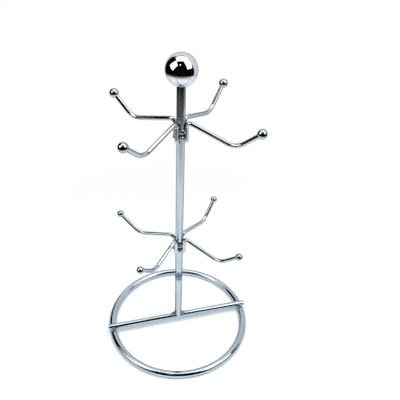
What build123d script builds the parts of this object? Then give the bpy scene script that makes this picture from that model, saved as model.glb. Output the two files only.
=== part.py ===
from build123d import *
import math
import os

os.makedirs("parts", exist_ok=True)

# Sizes in millimetres and degrees. The ring lies on Z = 0 and the bar runs along X.

# Base
ring_diameter = 160.0  # centre line of the ring
ring_rod = 8.0
bar_rod = 6.5
bar_length = 170.0
ring_bite = 1.0  # depth the bar sinks into the ring where they are welded

# Post and top ball
post_rod = 8.0
foot_bite = 1.0  # depth the post's foot is notched over the bar
ball_diameter = 28.0
ball_height = 320.0  # centre of the ball above the table
ball_hole_depth = 15.0

# Arms
wire = 4.0
upper_tier_drop = 45.5  # from the ball's centre down to the corner between leg and drooping run
tier_spacing = 136.0
upper_knee_reach = 53.0  # from the post's axis to the corner of the wide bend
lower_knee_reach = 48.0
leg_length = 20.0
leg_bite = 0.2  # depth of the flat that the post leaves in a welded leg
droop_angle = 16.0  # fall of the inner run
rise_angle = 41.5  # climb of the outer run
elbow_radius = 4.0
knee_radius = 16.0
outer_run = 29.5  # from the corner of the wide bend to the centre of the tip, where the bend is not shifted
cut_chamfer = 0.4  # broken edge on a cut rod or wire end

# Tips
upper_tip_diameter = 8.8
lower_tip_diameter = 7.5
tip_seat = 1.0  # from a tip's centre to the bottom of its hole
fit_gap = 0.02  # radial gap between a rod or wire and the hole it is pushed into

# Welds
ring_bead = 2.4  # radius of a bead beside a crossing
foot_weld_reach = 5.0  # along the bar, from the post's side
foot_weld_rise = 3.2  # up the post
foot_weld_width = 5.2
tack_radius = 2.8  # a tack between two legs
tack_offset = 0.6  # from the post's side to the middle of a tack
upper_tack_drop = 9.0  # below the tier's corner height
lower_tack_drop = 16.0

# Directions of the arms about the post, counted from the bar, as they were set before welding
upper_arm_angles = {"back_right": 43.0, "back_left": 133.0, "front_left": 220.2, "front_right": 320.4}
lower_arm_angles = {"back_right": 42.5, "back_left": 143.2, "front_left": 224.8, "front_right": 314.7}

# Shifts of the wide bend away from the post, as each wire was fed by hand, with its whole length kept
upper_knee_shifts = {"back_right": -2.7, "back_left": 1.0, "front_left": -0.5, "front_right": 0.4}
lower_knee_shifts = {"back_right": 1.5, "back_left": 0.0, "front_left": -0.8, "front_right": 2.0}

# Places that follow from the sizes
ring_radius = ring_diameter / 2
bar_axis_height = ring_rod + bar_rod / 2 - ring_bite
bar_top = bar_axis_height + bar_rod / 2
post_foot = bar_top - foot_bite
post_top = ball_height - ball_diameter / 2 + ball_hole_depth
upper_tier = ball_height - upper_tier_drop
lower_tier = upper_tier - tier_spacing
leg_reach = (post_rod + wire) / 2 - leg_bite
tack_reach = post_rod / 2 + tack_offset


def upright_plane(turn):
    """Plane through the post's axis: its local X points outwards and its local Y up."""
    outwards = Vector(1, 0, 0).rotate(Axis.Z, turn)
    return Plane(origin=(0, 0, 0), x_dir=outwards, z_dir=outwards.cross(Vector(0, 0, 1)))


def knee_height(tier, knee_reach):
    """Height of the corner of an arm's wide bend."""
    return tier - (knee_reach - leg_reach) * math.tan(math.radians(droop_angle))


def outer_point(tier, knee_reach, distance):
    """Point of an arm's outer run at a distance from the corner of the wide bend, as reach and height."""
    angle = math.radians(rise_angle)
    reach = knee_reach + distance * math.cos(angle)
    return reach, knee_height(tier, knee_reach) + distance * math.sin(angle)


def make_arm(turn, tier, knee_reach, outer_length):
    """One bent wire: leg, tight bend, drooping run, wide bend and rising end."""
    plane = upright_plane(turn)
    leg_end = tier - leg_length
    wire_end = outer_point(tier, knee_reach, outer_length + tip_seat)
    elbow_setback = elbow_radius * math.tan(math.radians(90 + droop_angle) / 2)
    knee_setback = knee_radius * math.tan(math.radians(droop_angle + rise_angle) / 2)
    corner_distance = (knee_reach - leg_reach) / math.cos(math.radians(droop_angle))
    inner_length = corner_distance - elbow_setback - knee_setback
    with BuildPart() as arm:
        with BuildLine(plane) as path:
            leg = Line((leg_reach, leg_end), (leg_reach, tier - elbow_setback))
            elbow = JernArc(leg @ 1, leg % 1, elbow_radius, -(90 + droop_angle))
            inner = PolarLine(elbow @ 1, inner_length, -droop_angle)
            knee = JernArc(inner @ 1, inner % 1, knee_radius, droop_angle + rise_angle)
            Line(knee @ 1, wire_end)
        with BuildSketch(Plane(origin=plane.from_local_coords((leg_reach, leg_end)), z_dir=(0, 0, 1))):
            Circle(wire / 2)
        sweep(path=path.line)
        chamfer(arm.faces().sort_by(Axis.Z)[0].edges(), cut_chamfer)
        with BuildSketch(Plane.XY.offset(leg_end)):
            Circle(post_rod / 2)
        extrude(amount=leg_length + elbow_radius, mode=Mode.SUBTRACT)
    return arm.part


def make_tip(turn, tier, knee_reach, outer_length, tip_diameter):
    """Ball with a blind hole that takes the arm's end, turned about the wire's line."""
    plane = upright_plane(turn)
    centre = plane.from_local_coords(outer_point(tier, knee_reach, outer_length))
    hole_end = plane.from_local_coords(outer_point(tier, knee_reach, outer_length + tip_seat))
    with BuildPart(Plane(origin=centre, z_dir=centre - hole_end)) as tip:
        Sphere(tip_diameter / 2)
        with BuildSketch(Plane(origin=hole_end, z_dir=centre - hole_end)):
            Circle(wire / 2 + fit_gap)
        extrude(amount=tip_diameter, mode=Mode.SUBTRACT)
    return tip.part


def make_tack(first, second, tier, drop):
    """One tack weld in the groove between two neighbouring legs, shaped to the legs and the post."""
    with BuildPart() as tack:
        with Locations((0, 0, tier - drop)):
            with PolarLocations(tack_reach, 1, start_angle=(first + second) / 2):
                Sphere(tack_radius)
        with BuildSketch(Plane.XY.offset(tier - 2 * leg_length)):
            Circle(post_rod / 2)
        extrude(amount=2 * leg_length, mode=Mode.SUBTRACT)
        for turn in (first, second):
            with BuildSketch(Plane.XY.offset(tier - 2 * leg_length)):
                with Locations(upright_plane(turn).from_local_coords((leg_reach, 0))):
                    Circle(wire / 2)
            extrude(amount=2 * leg_length, mode=Mode.SUBTRACT)
    return tack.part


def make_leg_welds(turns, tier):
    """Two tack welds in each of a tier's grooves."""
    ordered = sorted(turns)
    grooves = zip(ordered, ordered[1:] + [ordered[0] + 360])
    tacks = [
        make_tack(first, second, tier, drop)
        for first, second in grooves
        for drop in (upper_tack_drop, lower_tack_drop)
    ]
    with BuildPart() as welds:
        add(tacks)
    return welds.part


def save(part, name):
    """Writes one named piece."""
    part.label = name
    export_step(part, f"parts/{name}.step")


# Ring of bent rod
with BuildPart() as base_ring:
    with BuildSketch(Plane.XZ):
        with Locations((ring_radius, ring_rod / 2)):
            Circle(ring_rod / 2)
    revolve(axis=Axis.Z)
save(base_ring.part, "base_ring")

# Bar across the ring, seated in the shallow hollows that the welding leaves
with BuildPart() as crossbar:
    with BuildSketch(Plane.YZ.offset(-bar_length / 2)):
        with Locations((0, bar_axis_height)):
            Circle(bar_rod / 2)
    extrude(amount=bar_length)
    chamfer(crossbar.edges().filter_by(GeomType.CIRCLE), cut_chamfer)
    with BuildSketch(Plane.XZ):
        with Locations((ring_radius, ring_rod / 2)):
            Circle(ring_rod / 2)
    revolve(axis=Axis.Z, mode=Mode.SUBTRACT)
save(crossbar.part, "crossbar")

# Beads in the corners where the bar crosses the ring, their poles turned to point across the bar
with BuildPart() as ring_welds:
    with Locations((0, 0, ring_rod - ring_bite / 2)):
        with GridLocations(ring_diameter, bar_rod, 2, 2):
            Sphere(ring_bead, rotation=(90, 0, 0))
    with BuildSketch(Plane.YZ.offset(-bar_length / 2)):
        with Locations((0, bar_axis_height)):
            Circle(bar_rod / 2)
    extrude(amount=bar_length, mode=Mode.SUBTRACT)
    with BuildSketch(Plane.XZ):
        with Locations((ring_radius, ring_rod / 2)):
            Circle(ring_rod / 2)
    revolve(axis=Axis.Z, mode=Mode.SUBTRACT)
save(ring_welds.part, "ring_welds")

# Upright rod, notched over the bar
with BuildPart() as post:
    with BuildSketch(Plane.XY.offset(post_foot)):
        Circle(post_rod / 2)
    extrude(amount=post_top - post_foot)
    with BuildSketch(Plane.YZ.offset(-post_rod)):
        with Locations((0, bar_axis_height)):
            Circle(bar_rod / 2)
    extrude(amount=2 * post_rod, mode=Mode.SUBTRACT)
save(post.part, "post")

# Weld that flares from the post's foot out along the bar
with BuildPart() as post_weld:
    weld_radius = post_rod / 2 + foot_weld_reach
    with BuildSketch(Plane.XZ):
        with BuildLine():
            side = Line((0, bar_top + foot_weld_rise), (post_rod / 2, bar_top + foot_weld_rise))
            toe = (weld_radius, bar_top)
            RadiusArc(side @ 1, toe, -1.2 * foot_weld_reach)
            Polyline(toe, (weld_radius, bar_axis_height), (0, bar_axis_height), side @ 0)
        make_face()
    revolve(axis=Axis.Z)
    with BuildSketch(Plane.XY.offset(bar_axis_height)):
        SlotOverall(2 * weld_radius, foot_weld_width)
    extrude(amount=bar_rod + foot_weld_rise, mode=Mode.INTERSECT)
    with BuildSketch(Plane.XY.offset(bar_axis_height)):
        Circle(post_rod / 2)
    extrude(amount=bar_rod + foot_weld_rise, mode=Mode.SUBTRACT)
    with BuildSketch(Plane.YZ.offset(-bar_length / 2)):
        with Locations((0, bar_axis_height)):
            Circle(bar_rod / 2)
    extrude(amount=bar_length, mode=Mode.SUBTRACT)
save(post_weld.part, "post_weld")

# Ball with a blind hole that takes the post's end
with BuildPart() as top_ball:
    with Locations((0, 0, ball_height)):
        Sphere(ball_diameter / 2)
    with BuildSketch(Plane.XY.offset(post_top)):
        Circle(post_rod / 2 + fit_gap)
    extrude(amount=-ball_diameter, mode=Mode.SUBTRACT)
save(top_ball.part, "top_ball")

# Arms, tips and leg welds of both tiers
for tier_name, arm_angles, knee_shifts, tier, knee_reach, tip_diameter in (
    ("upper", upper_arm_angles, upper_knee_shifts, upper_tier, upper_knee_reach, upper_tip_diameter),
    ("lower", lower_arm_angles, lower_knee_shifts, lower_tier, lower_knee_reach, lower_tip_diameter),
):
    for place, angle in arm_angles.items():
        knee = knee_reach + knee_shifts[place]
        outer = outer_run - knee_shifts[place] / math.cos(math.radians(droop_angle))
        save(make_arm(angle, tier, knee, outer), f"{tier_name}_arm_{place}")
        save(make_tip(angle, tier, knee, outer, tip_diameter), f"{tier_name}_tip_{place}")
    save(make_leg_welds(arm_angles.values(), tier), f"{tier_name}_arm_welds")
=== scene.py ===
"""Looks of a chromed mug tree: drawn rods, bent wire arms, polished balls and plated welds in a white studio."""

import logging
import math
from collections.abc import Callable, Iterator
from contextlib import contextmanager
from dataclasses import dataclass
from enum import Enum

import bmesh
import bpy
from bpy.types import Material, Node, NodeSocket, NodeTree, Object
from mathutils import Matrix, Vector


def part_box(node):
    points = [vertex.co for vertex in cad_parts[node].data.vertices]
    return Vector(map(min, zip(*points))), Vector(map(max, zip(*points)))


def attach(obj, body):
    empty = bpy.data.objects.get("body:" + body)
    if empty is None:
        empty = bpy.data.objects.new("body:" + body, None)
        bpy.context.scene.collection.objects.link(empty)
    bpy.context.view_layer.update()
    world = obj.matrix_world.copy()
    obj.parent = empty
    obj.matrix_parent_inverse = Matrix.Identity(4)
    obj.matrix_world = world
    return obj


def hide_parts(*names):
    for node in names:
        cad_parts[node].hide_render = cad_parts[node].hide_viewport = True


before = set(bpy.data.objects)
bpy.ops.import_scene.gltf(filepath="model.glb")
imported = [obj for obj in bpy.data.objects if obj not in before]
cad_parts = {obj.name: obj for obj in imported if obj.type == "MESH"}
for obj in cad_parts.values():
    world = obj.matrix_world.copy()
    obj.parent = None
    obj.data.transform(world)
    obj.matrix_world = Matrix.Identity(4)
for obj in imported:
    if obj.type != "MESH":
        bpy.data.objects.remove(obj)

LOG = logging.getLogger("mug_tree")
MM = 0.001
BODY = "root"
DRAWN = "drawn"
ROD_SIDES, WIRE_SIDES = 48, 40
ROUNDED, CREASED = 180.0, 40.0
X_AXIS, Y_AXIS, Z_AXIS = Vector((1, 0, 0)), Vector((0, 1, 0)), Vector((0, 0, 1))


class Slot(Enum):
    """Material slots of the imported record."""

    ROD = "chrome_rod"
    WIRE = "chrome_wire"
    BALL = "chrome_ball"
    WELD = "plated_weld"


class Quarter(Enum):
    """Quarters of the tree that an arm points to."""

    FRONT_LEFT = "front_left"
    FRONT_RIGHT = "front_right"
    BACK_LEFT = "back_left"
    BACK_RIGHT = "back_right"


class Tier(Enum):
    """Rows of arms on the post."""

    UPPER = "upper"
    LOWER = "lower"


# Colours, nodes and meshes


def linear(code: str) -> tuple[float, float, float, float]:
    """Turns an sRGB hex colour into linear RGBA.

    Args:
        code: Six hex digits.

    Returns:
        Red, green, blue and an alpha of 1.
    """
    shares = [int(code[at : at + 2], 16) / 255 for at in (0, 2, 4)]
    red, green, blue = (s / 12.92 if s <= 0.04045 else ((s + 0.055) / 1.055) ** 2.4 for s in shares)
    return red, green, blue, 1.0


def add_node(tree: NodeTree, kind: str, inputs: dict[str | int, object] | None = None, **settings: object) -> Node:
    """Adds a node with its settings, and sets or links its inputs.

    Args:
        tree: Node tree that takes the node.
        kind: Blender's name for the kind of node.
        inputs: Value, or socket to link from, for each named or numbered input.
        settings: Properties of the node itself.

    Returns:
        The new node.
    """
    node = tree.nodes.new(kind)
    for name, value in settings.items():
        setattr(node, name, value)
    for name, value in (inputs or {}).items():
        if isinstance(value, NodeSocket):
            tree.links.new(value, node.inputs[name])
        else:
            node.inputs[name].default_value = value
    return node


def new_material(name: str) -> tuple[Material, NodeTree]:
    """Makes an empty node material.

    Args:
        name: Name of the finish.

    Returns:
        The material and its emptied node tree.
    """
    material = bpy.data.materials.new(name)
    material.use_nodes = True
    material.node_tree.nodes.clear()
    return material, material.node_tree


def add_primitive(name: str, operator: Callable[..., set[str]], **settings: object) -> Object:
    """Adds a primitive and puts its place and turn into its mesh.

    Args:
        name: Name of the piece that it becomes.
        operator: Operator that adds the primitive.
        settings: Sizes and place for the operator.

    Returns:
        The new object, selected alone.
    """
    bpy.ops.object.select_all(action="DESELECT")
    operator(**settings)
    piece = bpy.context.active_object
    piece.name = piece.data.name = name
    bpy.ops.object.transform_apply(location=True, rotation=True, scale=True)
    return piece


def pick(*pieces: Object) -> None:
    """Selects these objects alone, the first of them active."""
    bpy.ops.object.select_all(action="DESELECT")
    for piece in pieces:
        piece.select_set(True)
    bpy.context.view_layer.objects.active = pieces[0]


@contextmanager
def editing(piece: Object) -> Iterator[None]:
    """Opens a piece in edit mode with all of it selected, and closes it after.

    Args:
        piece: Object to shape.

    Yields:
        Nothing: the operators inside the block act on the piece.
    """
    pick(piece)
    bpy.ops.object.mode_set(mode="EDIT")
    bpy.ops.mesh.select_mode(type="VERT")
    bpy.ops.mesh.select_all(action="SELECT")
    yield
    bpy.ops.object.mode_set(mode="OBJECT")


def select_where(piece: Object, test: Callable[[Vector], bool]) -> None:
    """Selects, in edit mode, the vertices whose place passes a test.

    Args:
        piece: Object in edit mode.
        test: Says for a vertex's place whether it is selected.
    """
    mesh = bmesh.from_edit_mesh(piece.data)
    for vertex in mesh.verts:
        vertex.select = test(vertex.co)
    mesh.select_flush_mode()
    bmesh.update_edit_mesh(piece.data)


def close_up(merge: float = 0.0) -> None:
    """Closes a shell in edit mode and turns its faces outwards.

    Args:
        merge: Distance under which points are merged, or 0 to fill open ends instead.
    """
    bpy.ops.mesh.select_all(action="SELECT")
    if merge:
        bpy.ops.mesh.remove_doubles(threshold=merge)
    else:
        bpy.ops.mesh.fill_holes(sides=0)
    bpy.ops.mesh.select_all(action="SELECT")
    bpy.ops.mesh.normals_make_consistent(inside=False)


def settle(piece: Object, placing: Matrix) -> None:
    """Puts a turn and place into a piece's mesh, and leaves the piece selected alone at the origin.

    Args:
        piece: Object at the origin.
        placing: Its turn and place.
    """
    pick(piece)
    piece.matrix_world = placing
    bpy.ops.object.transform_apply(location=True, rotation=True, scale=True)


def copy_to(piece: Object, name: str, placing: Matrix) -> Object:
    """Copies a piece with its own mesh and puts the copy's place into that mesh.

    Args:
        piece: Object to copy.
        name: Name of the copy.
        placing: Turn and place of the copy.

    Returns:
        The copy, selected alone.
    """
    pick(piece)
    bpy.ops.object.duplicate(linked=False)
    copy = bpy.context.active_object
    copy.name = copy.data.name = name
    settle(copy, placing)
    return copy


def join(pieces: list[Object], name: str) -> Object:
    """Joins objects into one piece.

    Args:
        pieces: Objects to join.
        name: Name of the piece.

    Returns:
        The joined piece.
    """
    pick(*pieces)
    bpy.ops.object.join()
    pieces[0].name = pieces[0].data.name = name
    return pieces[0]


def weld_lump(name: str, radius: float) -> Object:
    """Starts a small lump of weld metal about the origin.

    Args:
        name: Name of the lump.
        radius: Its radius before it is stretched.

    Returns:
        The lump.
    """
    return add_primitive(name, bpy.ops.mesh.primitive_ico_sphere_add, subdivisions=4, radius=radius)


def roughen(piece: Object, lump: float, height: float) -> None:
    """Gives a weld the uneven skin of metal that froze as it ran.

    Args:
        piece: Object to displace.
        lump: Width of the lumps.
        height: Depth from their tops to the hollows.
    """
    clouds = bpy.data.textures.new(f"{piece.name}_skin", "CLOUDS")
    clouds.noise_scale = lump
    clouds.noise_depth = 2
    pick(piece)
    skin = piece.modifiers.new("skin", "DISPLACE")
    skin.texture = clouds
    skin.texture_coords = "LOCAL"
    skin.strength = height
    skin.mid_level = 0.5
    bpy.ops.object.modifier_apply(modifier=skin.name)


def discard(piece: Object) -> None:
    """Deletes a pattern piece once its copies are made."""
    bpy.data.meshes.remove(piece.data)


def hand_over(piece: Object, node: str, finish: Material, crease: float = CREASED) -> None:
    """Smooths and paints a finished piece, hides its CAD node and hangs the piece on the tree's body.

    Args:
        piece: Finished piece.
        node: CAD node that it stands for.
        finish: Its material.
        crease: Angle in degrees above which an edge stays sharp.
    """
    pick(piece)
    bpy.ops.object.shade_smooth_by_angle(angle=math.radians(crease))
    piece.data.materials.clear()
    piece.data.materials.append(finish)
    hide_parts(node)
    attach(piece, BODY)
    LOG.info("%s: %d faces for %s", piece.name, len(piece.data.polygons), node)


# Finishes


@dataclass(frozen=True)
class ChromePlate:
    """Bright nickel-chrome plate on drawn steel.

    It mirrors almost like glass with a cool tint. The drawing die leaves a faint long grain, the plating bath a slow
    waviness that lets mirrored edges wander, and handling a thin film that dulls patches of it.
    """

    name: str
    tint: str
    film_tint: str
    # Chromium mirrors least just short of grazing, which draws a darker line along the edge of each rod.
    edge_tint: str = "8C9094"
    roughness: float = 0.02
    film_roughness: float = 0.045
    film_width: float = 45 * MM
    film_span: tuple[float, float] = (0.4, 0.7)
    wave_width: float = 12 * MM
    wave_height: float = 0.004 * MM
    # Real die lines are some hundredths of a millimetre wide: they are drawn this coarse so that they show at all.
    grain_width: float = 1.6 * MM
    grain_length: float = 60 * MM
    grain_height: float = 0.003 * MM

    def make(self) -> Material:
        """Builds the node material and returns it."""
        material, tree = new_material(self.name)
        place = add_node(tree, "ShaderNodeTexCoord").outputs["Object"]
        film = add_node(tree, "ShaderNodeTexNoise", {"Vector": place, "Scale": 1 / self.film_width, "Detail": 3.0})
        wave = add_node(tree, "ShaderNodeTexNoise", {"Vector": place, "Scale": 1 / self.wave_width, "Detail": 1.0})
        drawn = add_node(tree, "ShaderNodeAttribute", attribute_name=DRAWN)
        stretch = (1 / self.grain_length, 1 / self.grain_width, 1 / self.grain_width)
        along = add_node(tree, "ShaderNodeMapping", {"Vector": drawn.outputs["Vector"], "Scale": stretch})
        grain = add_node(tree, "ShaderNodeTexNoise", {"Vector": along.outputs[0], "Scale": 1.0, "Detail": 2.0})
        tint = add_node(tree, "ShaderNodeValToRGB", {0: film.outputs[0]})
        for stop, at, colour in zip(tint.color_ramp.elements, self.film_span, (self.tint, self.film_tint)):
            stop.position, stop.color = at, linear(colour)
        span = {"From Min": self.film_span[0], "From Max": self.film_span[1]}
        dulling = {"To Min": self.roughness, "To Max": self.film_roughness}
        rough = add_node(tree, "ShaderNodeMapRange", {"Value": film.outputs[0], **span, **dulling})
        waves = add_node(tree, "ShaderNodeBump", {"Height": wave.outputs[0], "Distance": self.wave_height})
        lined = {"Height": grain.outputs[0], "Distance": self.grain_height, "Normal": waves.outputs[0]}
        lines = add_node(tree, "ShaderNodeBump", lined)
        skin = {"Base Color": tint.outputs[0], "Roughness": rough.outputs[0], "Normal": lines.outputs[0]}
        plate = {"Metallic": 1.0, "Specular Tint": linear(self.edge_tint)}
        metal = add_node(tree, "ShaderNodeBsdfPrincipled", {**plate, **skin})
        add_node(tree, "ShaderNodeOutputMaterial", {"Surface": metal.outputs[0]})
        return material


@dataclass(frozen=True)
class PlatedWeld:
    """Chrome over weld metal that was left as it froze.

    It is as bright as the rods but lumpy, so it breaks reflections into small dark and pale patches. The hollows of
    its ripples take a painted dark shade, and stay dull.
    """

    name: str
    tint: str = "B0B7BC"
    hollow_shade_tint: str = "4C5258"
    roughness: float = 0.03
    pore_roughness: float = 0.2
    ripple_width: float = 1.6 * MM
    ripple_height: float = 0.2 * MM
    pore_width: float = 0.7 * MM
    pore_height: float = 0.01 * MM
    hollow_span: tuple[float, float] = (0.3, 0.5)

    def make(self) -> Material:
        """Builds the node material and returns it."""
        material, tree = new_material(self.name)
        place = add_node(tree, "ShaderNodeTexCoord").outputs["Object"]
        lumps = {"Vector": place, "Scale": 1 / self.ripple_width, "Detail": 2.0}
        ripple = add_node(tree, "ShaderNodeTexNoise", lumps)
        pore = add_node(tree, "ShaderNodeTexVoronoi", {"Vector": place, "Scale": 1 / self.pore_width})
        # Painted shade: where the ripple bump dips, the weld is coloured darker than on its crests.
        tint = add_node(tree, "ShaderNodeValToRGB", {0: ripple.outputs[0]})
        for stop, at, colour in zip(tint.color_ramp.elements, self.hollow_span, (self.hollow_shade_tint, self.tint)):
            stop.position, stop.color = at, linear(colour)
        span = {"From Min": self.hollow_span[0], "From Max": self.hollow_span[1]}
        dulling = {"To Min": self.pore_roughness, "To Max": self.roughness}
        rough = add_node(tree, "ShaderNodeMapRange", {"Value": ripple.outputs[0], **span, **dulling})
        ripples = add_node(tree, "ShaderNodeBump", {"Height": ripple.outputs[0], "Distance": self.ripple_height})
        pitted = {"Height": pore.outputs[0], "Distance": self.pore_height, "Normal": ripples.outputs[0]}
        pits = add_node(tree, "ShaderNodeBump", pitted)
        skin = {"Base Color": tint.outputs[0], "Roughness": rough.outputs[0], "Normal": pits.outputs[0]}
        metal = add_node(tree, "ShaderNodeBsdfPrincipled", {"Metallic": 1.0, **skin})
        add_node(tree, "ShaderNodeOutputMaterial", {"Surface": metal.outputs[0]})
        return material


@dataclass(frozen=True)
class Finishes:
    """Materials of the tree, one for each slot, and the small balls' own."""

    by_slot: dict[Slot, Material]
    tip: Material

    @classmethod
    def make(cls) -> "Finishes":
        """Builds the materials and returns them."""
        polished = {"wave_height": 0.001 * MM, "grain_height": 0.0}
        fine = {"wave_height": 0.002 * MM, "grain_height": 0.001 * MM}
        # The small balls take a darker copy of the big ball's chrome: a painted shade that stands for the darker
        # reflections they show.
        tip = ChromePlate("chrome_on_small_ball_shaded", "BCC0C4", "B2B6BA", **polished).make()
        by_slot = {
            Slot.ROD: ChromePlate("chrome_on_drawn_rod", "C2CBD2", "B6BFC7", "505459").make(),
            # Thin wire is drawn more often than rod, so its grain and waves are finer.
            Slot.WIRE: ChromePlate("chrome_on_drawn_wire", "CBD0D4", "BFC5C9", "404449", **fine).make(),
            # A buffed ball keeps no grain, and its thick plate mirrors the most.
            Slot.BALL: ChromePlate("chrome_on_polished_ball", "E2E2E7", "D4D4DA", "E0E0E4", **polished).make(),
            Slot.WELD: PlatedWeld("chrome_over_weld").make(),
        }
        return cls(by_slot, tip)


# Rods and balls


@dataclass(frozen=True)
class RodEnd:
    """Growing end of a rod: where it is, which way it points, the axis it bends about and the length behind it."""

    place: Vector
    heading: Vector
    axis: Vector
    behind: float = 0.0

    @property
    def side(self) -> Vector:
        """Direction that a bend by a positive angle turns to."""
        return self.axis.cross(self.heading)


@dataclass(frozen=True)
class Run:
    """Straight length of a rod."""

    length: float
    pitch: float = 4 * MM

    def grow(self, end: RodEnd) -> RodEnd:
        """Extrudes the selected rim straight on.

        Args:
            end: Growing end before the run.

        Returns:
            The growing end after it.
        """
        count = max(2, round(self.length / self.pitch))
        for _ in range(count):
            bpy.ops.mesh.extrude_region_move(TRANSFORM_OT_translate={"value": end.heading * (self.length / count)})
        return RodEnd(end.place + end.heading * self.length, end.heading, end.axis, end.behind + self.length)

    def measure(self, end: RodEnd, point: Vector) -> tuple[float, Vector]:
        """Measures a point of the skin along and across the run.

        Args:
            end: Growing end before the run.
            point: Point of the skin.

        Returns:
            Its distance from the run's middle line, and a vector of its length along, its offset to the side and
            its offset along the axis.
        """
        offset = point - end.place
        along = min(max(offset.dot(end.heading), 0.0), self.length)
        miss = (offset - end.heading * along).length
        return miss, Vector((end.behind + along, offset.dot(end.side), offset.dot(end.axis)))


@dataclass(frozen=True)
class Bend:
    """Arc of a rod, positive where it turns to the side of its growing end."""

    radius: float
    angle: float
    pitch: float = math.radians(3.5)

    def centre(self, end: RodEnd) -> Vector:
        """Middle of the arc."""
        return end.place + end.side * math.copysign(self.radius, self.angle)

    def grow(self, end: RodEnd) -> RodEnd:
        """Spins the selected rim round the arc.

        Args:
            end: Growing end before the bend.

        Returns:
            The growing end after it.
        """
        centre = self.centre(end)
        count = max(3, round(abs(self.angle) / self.pitch))
        # With no window, spin turns against the right-hand rule.
        bpy.ops.mesh.spin(steps=count, angle=-self.angle, center=centre, axis=end.axis)
        turning = Matrix.Rotation(self.angle, 3, end.axis)
        place = centre + turning @ (end.place - centre)
        return RodEnd(place, turning @ end.heading, end.axis, end.behind + self.radius * abs(self.angle))

    def measure(self, end: RodEnd, point: Vector) -> tuple[float, Vector]:
        """Measures a point of the skin along and across the bend.

        Args:
            end: Growing end before the bend.
            point: Point of the skin.

        Returns:
            Its distance from the bend's middle line, and a vector of its length along, its offset to the side and
            its offset along the axis.
        """
        centre, whole = self.centre(end), abs(self.angle)
        offset, out = point - centre, (end.place - centre) / self.radius
        turned = math.atan2(offset.dot(end.heading), offset.dot(out)) % math.tau
        if turned > math.pi + whole / 2:
            turned -= math.tau
        turned = min(max(turned, 0.0), whole)
        outwards = out * math.cos(turned) + end.heading * math.sin(turned)
        miss = (offset - outwards * self.radius).length
        across = (self.radius - offset.dot(outwards)) * math.copysign(1.0, self.angle)
        return miss, Vector((end.behind + self.radius * turned, across, offset.dot(end.axis)))


@dataclass
class DrawnRod:
    """Rod or wire bent in one plane out of straight runs and arcs."""

    name: str
    radius: float
    start: RodEnd
    path: tuple[Run | Bend, ...]
    chamfer: float = 0.0
    sides: int = ROD_SIDES
    seam: float = 0.02 * MM

    def build(self, closed: bool = False) -> Object:
        """Draws the round section, grows it along the path and breaks the edges of its cut ends.

        Args:
            closed: Whether the rod meets its own start, as a ring does.

        Returns:
            The rod, with its lengthwise measure kept on its points for the grain.
        """
        piece = add_primitive(
            self.name,
            bpy.ops.mesh.primitive_circle_add,
            vertices=self.sides,
            radius=self.radius,
            location=self.start.place,
            rotation=self.start.heading.to_track_quat("Z", "Y").to_euler(),
        )
        ends = [self.start]
        with editing(piece):
            for step in self.path:
                ends.append(step.grow(ends[-1]))
            close_up(merge=self.seam if closed else 0.0)
            if not closed and self.chamfer:
                bpy.ops.mesh.select_mode(type="FACE")
                bpy.ops.mesh.select_all(action="DESELECT")
                bpy.ops.mesh.select_face_by_sides(number=4, type="GREATER")
                bpy.ops.mesh.region_to_loop()
                bpy.ops.mesh.bevel(offset=self.chamfer, segments=3, affect="EDGES")
        self.note_grain(piece, ends)
        return piece

    def note_grain(self, piece: Object, ends: list[RodEnd]) -> None:
        """Keeps each point's measure along and across the rod, so that the grain follows its bends.

        Args:
            piece: Finished rod.
            ends: Growing end before each step of the path.
        """
        measures: list[float] = []
        for vertex in piece.data.vertices:
            found = (step.measure(end, vertex.co) for step, end in zip(self.path, ends))
            measures.extend(min(found, key=lambda near: near[0])[1])
        piece.data.attributes.new(DRAWN, "FLOAT_VECTOR", "POINT").data.foreach_set("vector", measures)


@dataclass
class BoredBall:
    """Polished ball with an eased bore in its underside, as deep as a share of its radius, about the origin."""

    name: str
    radius: float
    bore: float
    segments: int
    lip: float = 0.3 * MM
    bore_depth: float = 0.6

    def build(self) -> Object:
        """Turns the ball, opens its underside and eases the edge into the bore.

        Returns:
            The ball, its bore facing down.
        """
        piece = add_primitive(
            self.name,
            bpy.ops.mesh.primitive_uv_sphere_add,
            segments=self.segments,
            ring_count=self.segments // 2,
            radius=self.radius,
        )
        opening = self.bore + self.lip
        with editing(piece):
            select_where(piece, lambda at: at.z < 0 and math.hypot(at.x, at.y) < opening)
            bpy.ops.mesh.delete(type="VERT")
            bpy.ops.mesh.select_all(action="SELECT")
            bpy.ops.mesh.select_non_manifold(extend=False)
            depth = -math.sqrt(self.radius**2 - opening**2)
            bpy.ops.mesh.extrude_region_move(TRANSFORM_OT_translate={"value": (0, 0, self.lip)})
            shrink = self.bore / self.rim_radius(piece)
            bpy.ops.transform.resize(value=(shrink, shrink, 1), center_override=(0, 0, depth))
            deepen = (0, 0, self.radius * self.bore_depth)
            bpy.ops.mesh.extrude_region_move(TRANSFORM_OT_translate={"value": deepen})
            bpy.ops.mesh.edge_face_add()
            bpy.ops.mesh.select_all(action="SELECT")
            bpy.ops.mesh.normals_make_consistent(inside=False)
        return piece

    def rim_radius(self, piece: Object) -> float:
        """Radius of the rim that is selected in edit mode."""
        return max(v.co.xy.length for v in bmesh.from_edit_mesh(piece.data).verts if v.select)


# Sub-assemblies


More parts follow.
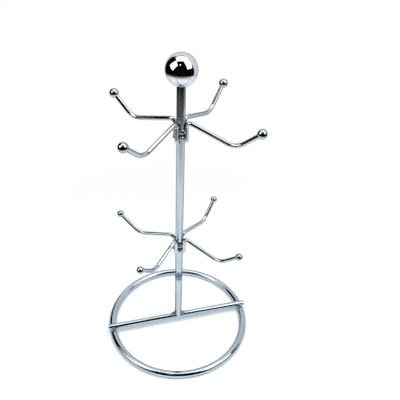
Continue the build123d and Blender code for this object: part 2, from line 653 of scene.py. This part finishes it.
@dataclass
class Base:
    """Ring that stands on the table, the bar across it and the beads that hold the two."""

    finishes: Finishes
    ring_pitch: float = math.radians(1.25)
    bar_chamfer: float = 0.5 * MM
    bead: float = 2.5 * MM
    bead_stretch: tuple[float, float, float] = (1.15, 0.85, 0.95)
    bead_lump: float = 1.6 * MM
    bead_skin: float = 0.9 * MM

    def build(self) -> None:
        """Builds the ring, the bar and the beads."""
        low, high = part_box("base_ring")
        rod = (high[2] - low[2]) / 2
        reach = (high[0] - low[0]) / 2 - rod
        start = RodEnd(Vector((reach, 0, low[2] + rod)), Y_AXIS, Z_AXIS)
        path = (Bend(reach, math.tau, self.ring_pitch),)
        ring = DrawnRod("ring_rod", rod, start, path).build(closed=True)
        hand_over(ring, "base_ring", self.finishes.by_slot[Slot.ROD])
        low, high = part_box("crossbar")
        rod = (high[1] - low[1]) / 2
        start = RodEnd(Vector((low[0], 0, high[2] - rod)), X_AXIS, Z_AXIS)
        bar = DrawnRod("bar_rod", rod, start, (Run(high[0] - low[0]),), self.bar_chamfer).build()
        hand_over(bar, "crossbar", self.finishes.by_slot[Slot.ROD])
        self.build_beads(reach, rod)

    def build_beads(self, reach: float, bar: float) -> None:
        """Builds the beads in the four corners where bar and ring cross.

        Args:
            reach: Radius of the ring's middle line.
            bar: Radius of the bar.
        """
        low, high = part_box("ring_welds")
        height = (low[2] + high[2]) / 2
        lump = weld_lump("bead_pattern", self.bead)
        stretch = Matrix.Diagonal((*self.bead_stretch, 1))
        beads = [
            copy_to(lump, "bead", Matrix.Translation((x, y, height)) @ stretch)
            for x in (-reach, reach)
            for y in (-bar, bar)
        ]
        discard(lump)
        welds = join(beads, "ring_beads")
        roughen(welds, self.bead_lump, self.bead_skin)
        hand_over(welds, "ring_welds", self.finishes.by_slot[Slot.WELD], crease=ROUNDED)


@dataclass
class Mast:
    """Upright rod, the weld round its foot and the ball on its top.

    Each section of a flare is its distance from the post's middle, its half width and its rise over the bar.
    """

    finishes: Finishes
    post_chamfer: float = 0.3 * MM
    ball_segments: int = 160
    flare_sections: tuple[tuple[float, float, float], ...] = (
        (3.0 * MM, 3.0 * MM, 3.4 * MM),
        (4.4 * MM, 2.8 * MM, 2.7 * MM),
        (5.6 * MM, 2.6 * MM, 1.7 * MM),
        (7.2 * MM, 2.2 * MM, 0.95 * MM),
        (8.7 * MM, 1.5 * MM, 0.35 * MM),
    )
    flare_root: float = 1.6 * MM
    flare_sides: int = 32
    flare_lump: float = 1.5 * MM
    flare_skin: float = 0.5 * MM

    def build(self) -> None:
        """Builds the rod, the foot's weld and the ball."""
        low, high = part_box("post")
        rod = (high[0] - low[0]) / 2
        start = RodEnd(Vector((0, 0, low[2])), Z_AXIS, Y_AXIS)
        post = DrawnRod("post_rod", rod, start, (Run(high[2] - low[2]),), self.post_chamfer).build()
        hand_over(post, "post", self.finishes.by_slot[Slot.ROD])
        low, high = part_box("top_ball")
        radius = (high[0] - low[0]) / 2
        pattern = BoredBall("ball_pattern", radius, rod, self.ball_segments).build()
        ball = copy_to(pattern, "ball", Matrix.Translation((0, 0, high[2] - radius)))
        discard(pattern)
        hand_over(ball, "top_ball", self.finishes.by_slot[Slot.BALL])
        self.build_flares(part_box("crossbar")[1][2])

    def build_flares(self, seat: float) -> None:
        """Builds the two tongues of weld that run out along the bar.

        Args:
            seat: Height of the bar's top.
        """
        (first, wide, rise), *rest = self.flare_sections
        tongue = add_primitive(
            "flare_pattern",
            bpy.ops.mesh.primitive_circle_add,
            vertices=self.flare_sides,
            radius=1.0,
            rotation=(0, math.pi / 2, 0),
        )
        with editing(tongue):
            bpy.ops.transform.resize(value=(1, wide, (rise + self.flare_root) / 2), center_override=(0, 0, 0))
            bpy.ops.transform.translate(value=(first, 0, seat + (rise - self.flare_root) / 2))
            for at, half, top in rest:
                shift = (at - first, 0, (top - rise) / 2)
                bpy.ops.mesh.extrude_region_move(TRANSFORM_OT_translate={"value": shift})
                squeeze = (1, half / wide, (top + self.flare_root) / (rise + self.flare_root))
                middle = (at, 0, seat + (top - self.flare_root) / 2)
                bpy.ops.transform.resize(value=squeeze, center_override=middle)
                first, wide, rise = at, half, top
            close_up()
            bpy.ops.mesh.subdivide(number_cuts=2, smoothness=0.6)
        flares = [copy_to(tongue, "flare", Matrix.Rotation(turn, 4, "Z")) for turn in (0.0, math.pi)]
        discard(tongue)
        weld = join(flares, "foot_flares")
        roughen(weld, self.flare_lump, self.flare_skin)
        hand_over(weld, "post_weld", self.finishes.by_slot[Slot.WELD], crease=ROUNDED)


@dataclass
class ArmTier:
    """One row of four bent arms with their ball tips, and the tacks that hold their legs to the post."""

    tier: Tier
    finishes: Finishes
    wire: float = 2.0 * MM
    leg_length: float = 20 * MM
    leg_reach: float = 5.8 * MM
    droop: float = math.radians(16.0)
    rise: float = math.radians(41.5)
    elbow: float = 4.0 * MM
    knee: float = 16 * MM
    wire_past_tip: float = 1.0 * MM
    wire_pitch: float = 3 * MM
    knee_pitch: float = math.radians(2.5)
    chamfer: float = 0.35 * MM
    tip_segments: int = 64
    tip_lip: float = 0.25 * MM
    tack: float = 2.5 * MM
    tack_stretch: tuple[float, float, float] = (0.9, 1.15, 1.05)
    tack_reach: float = 5.0 * MM
    tack_inset: float = 3.0 * MM
    tack_lump: float = 1.7 * MM
    tack_skin: float = 1.0 * MM

    def build(self) -> None:
        """Bends each arm to the tip that the CAD gives it, sets a copy of one tip on each, and adds the tacks."""
        row = self.tier.value
        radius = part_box(f"{row}_tip_front_left")[1][2] - self.tip_middle(Quarter.FRONT_LEFT).z
        pattern = BoredBall(f"{row}_tip_pattern", radius, self.wire, self.tip_segments, self.tip_lip).build()
        lean = Matrix.Rotation(math.pi / 2 - self.rise, 4, "Y")
        turns = []
        for quarter in Quarter:
            middle = self.tip_middle(quarter)
            turns.append(math.atan2(middle.y, middle.x))
            turn = Matrix.Rotation(turns[-1], 4, "Z")
            arm = self.bend_arm(quarter, middle, turn)
            hand_over(arm, f"{row}_arm_{quarter.value}", self.finishes.by_slot[Slot.WIRE])
            ball = copy_to(pattern, f"{row}_ball_{quarter.value}", Matrix.Translation(middle) @ turn @ lean)
            hand_over(ball, f"{row}_tip_{quarter.value}", self.finishes.tip)
        discard(pattern)
        self.build_tacks(turns)

    def tip_middle(self, quarter: Quarter) -> Vector:
        """Middle of a tip in the CAD."""
        low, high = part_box(f"{self.tier.value}_tip_{quarter.value}")
        return (Vector(low) + Vector(high)) / 2

    def bend_arm(self, quarter: Quarter, tip: Vector, turn: Matrix) -> Object:
        """Bends one arm: leg, tight elbow, drooping run, wide knee and rising end.

        Args:
            quarter: Quarter that the arm points to.
            tip: Middle of the tip that it carries.
            turn: Turn from the X axis to the arm's direction.

        Returns:
            The arm.
        """
        leg_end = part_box(f"{self.tier.value}_arm_{quarter.value}")[0][2]
        fall, reach = math.tan(self.droop), tip.xy.length
        climb = tip.z - leg_end - self.leg_length + (reach - self.leg_reach) * fall
        outer = climb / (math.sin(self.rise) + math.cos(self.rise) * fall)
        inner = (reach - outer * math.cos(self.rise) - self.leg_reach) / math.cos(self.droop)
        elbow_setback = self.elbow * math.tan((math.pi / 2 + self.droop) / 2)
        knee_setback = self.knee * math.tan((self.droop + self.rise) / 2)
        start = RodEnd(turn @ Vector((self.leg_reach, 0, leg_end)), Z_AXIS, turn @ Y_AXIS)
        path = (
            Run(self.leg_length - elbow_setback, self.wire_pitch),
            Bend(self.elbow, math.pi / 2 + self.droop),
            Run(inner - elbow_setback - knee_setback, self.wire_pitch),
            Bend(self.knee, -self.droop - self.rise, self.knee_pitch),
            Run(outer - knee_setback + self.wire_past_tip, self.wire_pitch),
        )
        name = f"{self.tier.value}_wire_{quarter.value}"
        return DrawnRod(name, self.wire, start, path, self.chamfer, WIRE_SIDES).build()

    def build_tacks(self, turns: list[float]) -> None:
        """Builds two tacks in each groove between neighbouring legs.

        Args:
            turns: Directions of the arms.
        """
        node = f"{self.tier.value}_arm_welds"
        low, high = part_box(node)
        ordered = sorted(turn % math.tau for turn in turns)
        grooves = [(a + b) / 2 for a, b in zip(ordered, ordered[1:] + [ordered[0] + math.tau])]
        lump = weld_lump("tack_pattern", self.tack)
        stretch = Matrix.Diagonal((*self.tack_stretch, 1))
        tacks = [
            copy_to(
                lump,
                "tack",
                Matrix.Rotation(groove, 4, "Z") @ Matrix.Translation((self.tack_reach, 0, height)) @ stretch,
            )
            for groove in grooves
            for height in (low[2] + self.tack_inset, high[2] - self.tack_inset)
        ]
        discard(lump)
        weld = join(tacks, f"{self.tier.value}_tacks")
        roughen(weld, self.tack_lump, self.tack_skin)
        hand_over(weld, node, self.finishes.by_slot[Slot.WELD], crease=ROUNDED)


# Studio and camera


@dataclass
class PhotoCamera:
    """Camera where the photograph was taken from, in a frame turned about the post so that it stands on -Y."""

    turn: float = 13.651
    away: float = 380.181 * MM
    height: float = 469.473 * MM
    yaw: float = 3.208
    pitch: float = 39.176
    roll: float = 2.826
    focal_pixels: float = 472.838
    middle_row: float = 221.436
    frame_pixels: float = 400.0
    sensor: float = 36.0

    def build(self) -> None:
        """Sets up the camera and makes it the scene's own."""
        yaw, pitch, roll = (math.radians(angle) for angle in (self.yaw, self.pitch, self.roll))
        forward = Vector((math.sin(yaw) * math.cos(pitch), math.cos(yaw) * math.cos(pitch), -math.sin(pitch)))
        level = Vector((math.cos(yaw), -math.sin(yaw), 0))
        up = level.cross(forward)
        right = level * math.cos(roll) + up * math.sin(roll)
        top = up * math.cos(roll) - level * math.sin(roll)
        facing = Matrix((right, top, -forward)).transposed().to_4x4()
        pose = Matrix.Translation((0, -self.away, self.height)) @ facing
        data = bpy.data.cameras.new("photo_camera")
        data.sensor_width = self.sensor
        data.lens = self.sensor * self.focal_pixels / self.frame_pixels
        data.shift_y = (self.middle_row - self.frame_pixels / 2) / self.frame_pixels
        camera = bpy.data.objects.new("photo_camera", data)
        bpy.context.scene.collection.objects.link(camera)
        camera.matrix_world = Matrix.Rotation(math.radians(-self.turn), 4, "Z") @ pose
        bpy.context.scene.camera = camera
        LOG.info("photo_camera: %.1f mm lens", data.lens)


@dataclass(frozen=True)
class Softbox:
    """Diffused flat lamp that faces the tree, placed by directions from the top ball."""

    name: str
    azimuth: float
    elevation: float
    distance: float
    width: float
    height: float
    radiance: float
    roll: float = 0.0
    tilt: float = 0.0
    pan: float = 0.0
    mirrored: bool = True

    def build(self, aim: Vector, turn: Matrix) -> None:
        """Hangs the lamp and sets its power from the brightness of its face.

        Args:
            aim: Point that its directions are counted from, in the turned frame.
            turn: Turn from the turned frame to the tree's own.
        """
        outwards = Matrix.Rotation(math.radians(self.azimuth), 3, "Z") @ Vector((0, -1, 0))
        level = Z_AXIS.cross(outwards)
        outwards = Matrix.Rotation(math.radians(-self.elevation), 3, level) @ outwards
        facing = Matrix((level, outwards.cross(level), outwards)).transposed().to_4x4()
        for angle, axis in ((self.roll, "Z"), (self.tilt, "X"), (self.pan, "Y")):
            facing = facing @ Matrix.Rotation(math.radians(angle), 4, axis)
        data = bpy.data.lights.new(self.name, "AREA")
        data.shape = "RECTANGLE"
        data.size, data.size_y = self.width, self.height
        data.energy = self.radiance * math.pi * self.width * self.height
        lamp = bpy.data.objects.new(self.name, data)
        bpy.context.scene.collection.objects.link(lamp)
        lamp.matrix_world = turn @ Matrix.Translation(aim + outwards * self.distance) @ facing
        lamp.visible_camera = False
        lamp.visible_glossy = self.mirrored


@dataclass
class Studio:
    """White table and its pale backdrop, dark room, flag and softboxes, in the camera's turned frame.

    Lengths are in metres and directions in degrees, counted to the right from the camera.
    """

    turn: float
    aim: Vector
    table_middle: tuple[float, float] = (0.064, 0.092)
    table_radius: float = 0.553
    lit_reach: float = 0.20
    white_reach: float = 0.42
    paper: str = "F8F9FA"
    painted_shade_tint: str = "C4E8FA"
    painted_shade_glow: float = 0.18
    front_level: float = 0.65
    backdrop_radius: float = 0.514
    backdrop_height: float = 1.145
    backdrop_from: float = 92.0
    backdrop_to: float = 218.3
    backdrop_tones: tuple[str, str] = ("D8DCE0", "FFFFFF")
    room_radius: float = 3.0
    room_span: tuple[float, float] = (0.2, 0.39)
    room_tones: tuple[str, str] = ("867F75", "0A0A0A")
    flag_middle: tuple[float, float, float] = (-0.22, -0.0025, 0.32)
    flag_width: float = 0.055
    flag_height: float = 0.12
    flag_tone: str = "080808"
    fill_tint: str = "D4E2F0"
    fill_level: float = 0.12
    softboxes: tuple[Softbox, ...] = (
        Softbox(
            "left_softbox",
            azimuth=-68.4, elevation=34.2, distance=0.934, width=0.631, height=0.807,
            roll=-22.8, tilt=11.2, pan=1.8, radiance=2.15,
        ),
        Softbox(
            "top_softbox",
            azimuth=169.4, elevation=85.4, distance=1.068, width=1.32, height=0.755,
            roll=9.8, tilt=10.3, pan=-6.8, radiance=2.15,
        ),
        Softbox(
            "right_softbox",
            azimuth=70.6, elevation=38.8, distance=1.033, width=0.779, height=0.891,
            roll=-17.2, tilt=-1.7, pan=-20.0, radiance=2.15,
        ),
        Softbox(
            "small_lamp",
            azimuth=-13.0, elevation=50.0, distance=0.95, width=0.13, height=0.12,
            radiance=1.7,
        ),
        Softbox(
            "ceiling_fill",
            azimuth=0.0, elevation=70.0, distance=1.2, width=1.1, height=1.1,
            radiance=2.5, mirrored=False,
        ),
    )

    def build(self) -> None:
        """Builds the table, the walls that only reflections see, the lamps and the world."""
        turn = Matrix.Rotation(math.radians(-self.turn), 4, "Z")
        self.build_table(turn)
        self.build_backdrop(turn)
        self.build_room()
        self.build_flag(turn)
        for softbox in self.softboxes:
            softbox.build(self.aim, turn)
        self.build_world()
        bpy.context.scene.view_settings.view_transform = "Standard"
        LOG.info("studio: %d lamps", len(self.softboxes))

    def build_table(self, turn: Matrix) -> None:
        """Lays the white table, lit near the tree so that it keeps its shadow and plain white further out.

        Args:
            turn: Turn from the camera's frame to the tree's own.
        """
        middle = turn @ Vector((*self.table_middle, 0))
        table = add_primitive(
            "table",
            bpy.ops.mesh.primitive_circle_add,
            vertices=128,
            radius=self.table_radius,
            fill_type="NGON",
            location=middle,
        )
        # Matt white paper: a faint painted cool glow gives its soft shade under the tree a blue tint, and it shows
        # no edge further out.
        material, tree = new_material("white_table_paper")
        place = add_node(tree, "ShaderNodeTexCoord").outputs["Object"]
        away = add_node(tree, "ShaderNodeVectorMath", {0: place}, operation="LENGTH")
        reach = {"From Min": self.lit_reach, "From Max": self.white_reach}
        share = add_node(
            tree,
            "ShaderNodeMapRange",
            {"Value": away.outputs["Value"], **reach},
            interpolation_type="SMOOTHSTEP",
        )
        paper = add_node(tree, "ShaderNodeBsdfDiffuse", {"Color": linear(self.paper)})
        # Painted cool glow added to the paper, which tints its shadows blue.
        glow = add_node(tree, "ShaderNodeEmission", {"Color": linear(self.painted_shade_tint), "Strength": self.painted_shade_glow})
        lit = add_node(tree, "ShaderNodeAddShader", {0: paper.outputs[0], 1: glow.outputs[0]})
        # The front of the table is dimmer in what the tree mirrors, a painted falloff of the lamps' light, and plain
        # white to the eye.
        depth = add_node(tree, "ShaderNodeSeparateXYZ", {0: place}).outputs["Y"]
        span = {"From Min": -self.white_reach, "From Max": -self.lit_reach / 2, "To Min": self.front_level}
        fade = add_node(tree, "ShaderNodeMapRange", {"Value": depth, **span})
        eye = add_node(tree, "ShaderNodeLightPath").outputs["Is Camera Ray"]
        level = add_node(tree, "ShaderNodeMath", {0: fade.outputs[0], 1: eye}, operation="MAXIMUM")
        white = add_node(tree, "ShaderNodeEmission", {"Color": linear("FFFFFF"), "Strength": level.outputs[0]})
        mixed = {0: share.outputs[0], 1: lit.outputs[0], 2: white.outputs[0]}
        surface = add_node(tree, "ShaderNodeMixShader", mixed)
        add_node(tree, "ShaderNodeOutputMaterial", {"Surface": surface.outputs[0]})
        table.data.materials.append(material)

    def build_backdrop(self, turn: Matrix) -> None:
        """Curves the pale backdrop round behind the tree, seen in its reflections alone.

        Args:
            turn: Turn from the camera's frame to the tree's own.
        """
        wall = add_primitive(
            "backdrop",
            bpy.ops.mesh.primitive_cylinder_add,
            vertices=144,
            radius=self.backdrop_radius,
            depth=self.backdrop_height,
            end_fill_type="NOTHING",
            location=(0, 0, self.backdrop_height / 2),
        )
        with editing(wall):
            select_where(wall, lambda at: not self.backdrop_from < self.azimuth(at) < self.backdrop_to)
            bpy.ops.mesh.delete(type="VERT")
        settle(wall, turn)
        # Pale paper with its light from above painted in: a little greyer towards the table.
        material, tree = new_material("pale_backdrop_paper")
        place = add_node(tree, "ShaderNodeTexCoord").outputs["Object"]
        height = add_node(tree, "ShaderNodeSeparateXYZ", {0: place}).outputs["Z"]
        up = add_node(tree, "ShaderNodeMapRange", {"Value": height, "From Max": self.backdrop_height})
        tone = add_node(tree, "ShaderNodeValToRGB", {0: up.outputs[0]})
        for stop, colour in zip(tone.color_ramp.elements, self.backdrop_tones):
            stop.color = linear(colour)
        self.hang(wall, material, tone.outputs[0])

    def azimuth(self, at: Vector) -> float:
        """Direction of a point in degrees, counted to the right from the camera."""
        return math.degrees(math.atan2(at.x, -at.y)) % 360

    def build_room(self) -> None:
        """Closes the dark room round the studio, seen in the tree's reflections alone."""
        room = add_primitive(
            "room",
            bpy.ops.mesh.primitive_uv_sphere_add,
            segments=64,
            ring_count=32,
            radius=self.room_radius,
        )
        # Unlit walls over a floor with a little painted warm light, as if caught from the table's edge.
        material, tree = new_material("dark_studio_room")
        place = add_node(tree, "ShaderNodeTexCoord").outputs["Object"]
        height = add_node(tree, "ShaderNodeSeparateXYZ", {0: place}).outputs["Z"]
        low = {"Value": height, "From Min": -self.room_radius / 2, "From Max": 0.0}
        up = add_node(tree, "ShaderNodeMapRange", low)
        tone = add_node(tree, "ShaderNodeValToRGB", {0: up.outputs[0]})
        for stop, at, colour in zip(tone.color_ramp.elements, self.room_span, self.room_tones):
            stop.position, stop.color = at, linear(colour)
        self.hang(room, material, tone.outputs[0])

    def build_flag(self, turn: Matrix) -> None:
        """Hangs a narrow black flag beside the tree, which keeps the left lamp's corner off the nearest arm.

        Args:
            turn: Turn from the camera's frame to the tree's own.
        """
        flag = add_primitive("flag", bpy.ops.mesh.primitive_plane_add, size=1.0, rotation=(0, math.pi / 2, 0))
        with editing(flag):
            bpy.ops.transform.resize(value=(1, self.flag_width, self.flag_height), center_override=(0, 0, 0))
            bpy.ops.transform.translate(value=self.flag_middle)
        settle(flag, turn)
        # Black cloth: it mirrors as a dark strip and lights nothing.
        material, _ = new_material("black_flag_cloth")
        self.hang(flag, material, linear(self.flag_tone))

    def hang(self, wall: Object, material: Material, colour: NodeSocket | tuple[float, ...]) -> None:
        """Gives a wall its own plain light and shows it to reflections alone.

        Args:
            wall: Wall to paint.
            material: Its unfinished material.
            colour: Its plain colour, or the socket that gives it.
        """
        tree = material.node_tree
        glow = add_node(tree, "ShaderNodeEmission", {"Color": colour, "Strength": 1.0})
        add_node(tree, "ShaderNodeOutputMaterial", {"Surface": glow.outputs[0]})
        wall.data.materials.append(material)
        wall.visible_camera = wall.visible_diffuse = wall.visible_shadow = wall.visible_transmission = False

    def build_world(self) -> None:
        """Gives eye, gloss and glass a white surround, and the tree a dim cool fill."""
        world = bpy.data.worlds.new("studio_world")
        bpy.context.scene.world = world
        world.use_nodes = True
        tree = world.node_tree
        tree.nodes.clear()
        ray = add_node(tree, "ShaderNodeLightPath")
        eye, gloss = ray.outputs["Is Camera Ray"], ray.outputs["Is Glossy Ray"]
        seen = add_node(tree, "ShaderNodeMath", {0: eye, 1: gloss}, operation="MAXIMUM")
        through = {0: seen.outputs[0], 1: ray.outputs["Is Transmission Ray"]}
        plain = add_node(tree, "ShaderNodeMath", through, operation="MAXIMUM")
        dim = {"Color": linear(self.fill_tint), "Strength": self.fill_level}
        fill = add_node(tree, "ShaderNodeBackground", dim)
        white = add_node(tree, "ShaderNodeBackground", {"Color": linear("FFFFFF"), "Strength": 1.0})
        both = add_node(tree, "ShaderNodeMixShader", {0: plain.outputs[0], 1: fill.outputs[0], 2: white.outputs[0]})
        add_node(tree, "ShaderNodeOutputWorld", {"Surface": both.outputs[0]})


def main() -> None:
    """Builds camera, finishes, tree and studio in order."""
    logging.basicConfig(level=logging.INFO, format="%(message)s")
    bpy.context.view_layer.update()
    camera = PhotoCamera()
    camera.build()
    finishes = Finishes.make()
    Base(finishes).build()
    Mast(finishes).build()
    for tier in Tier:
        ArmTier(tier, finishes).build()
    low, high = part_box("top_ball")
    Studio(camera.turn, (Vector(low) + Vector(high)) / 2).build()


if __name__ == "__main__":
    main()
